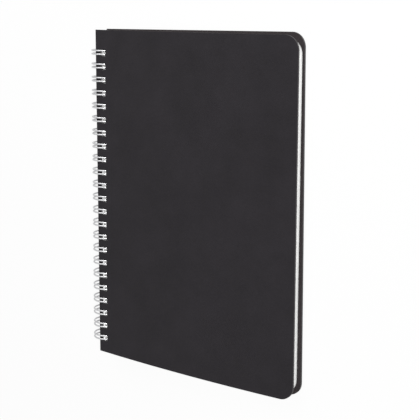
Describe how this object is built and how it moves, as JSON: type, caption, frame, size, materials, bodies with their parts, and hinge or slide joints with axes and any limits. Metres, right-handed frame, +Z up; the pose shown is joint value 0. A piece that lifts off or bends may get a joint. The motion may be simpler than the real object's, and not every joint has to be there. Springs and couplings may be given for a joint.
{
  "type": "wire-bound notebook",
  "caption": "Wire-bound notebook with two loose leather covers round a block of pages, held by twin-loop wire through square holes along the spine.",
  "frame": {"origin": "middle of the footprint, on the surface that the closed notebook lies on", "axes": "+X from the spine to the fore edge, +Y from the foot of the page to its head, +Z up out of the front cover"},
  "size_m": [0.1582, 0.2126, 0.0163],
  "materials": {
    "leather": "smooth charcoal leather with a fine matt grain and cut edges",
    "paper": "plain white paper, cut edges",
    "wire": "bright silver plated wire"
  },
  "bodies": {
    "book": {"page_block": "paper", "wire_binding": "wire"},
    "front": {"front_cover": "leather"},
    "back": {"back_cover": "leather"}
  },
  "joints": [
    {"name": "front_cover_turn", "type": "hinge", "parent": "book", "child": "front", "pos_m": [-0.07097, -0.00113, 0.00815], "axis": [0, -1, 0], "range_deg": [0, 180]},
    {"name": "back_cover_turn", "type": "hinge", "parent": "book", "child": "back", "pos_m": [-0.07097, -0.00113, 0.00815], "axis": [0, 1, 0], "range_deg": [0, 180]}
  ]
}
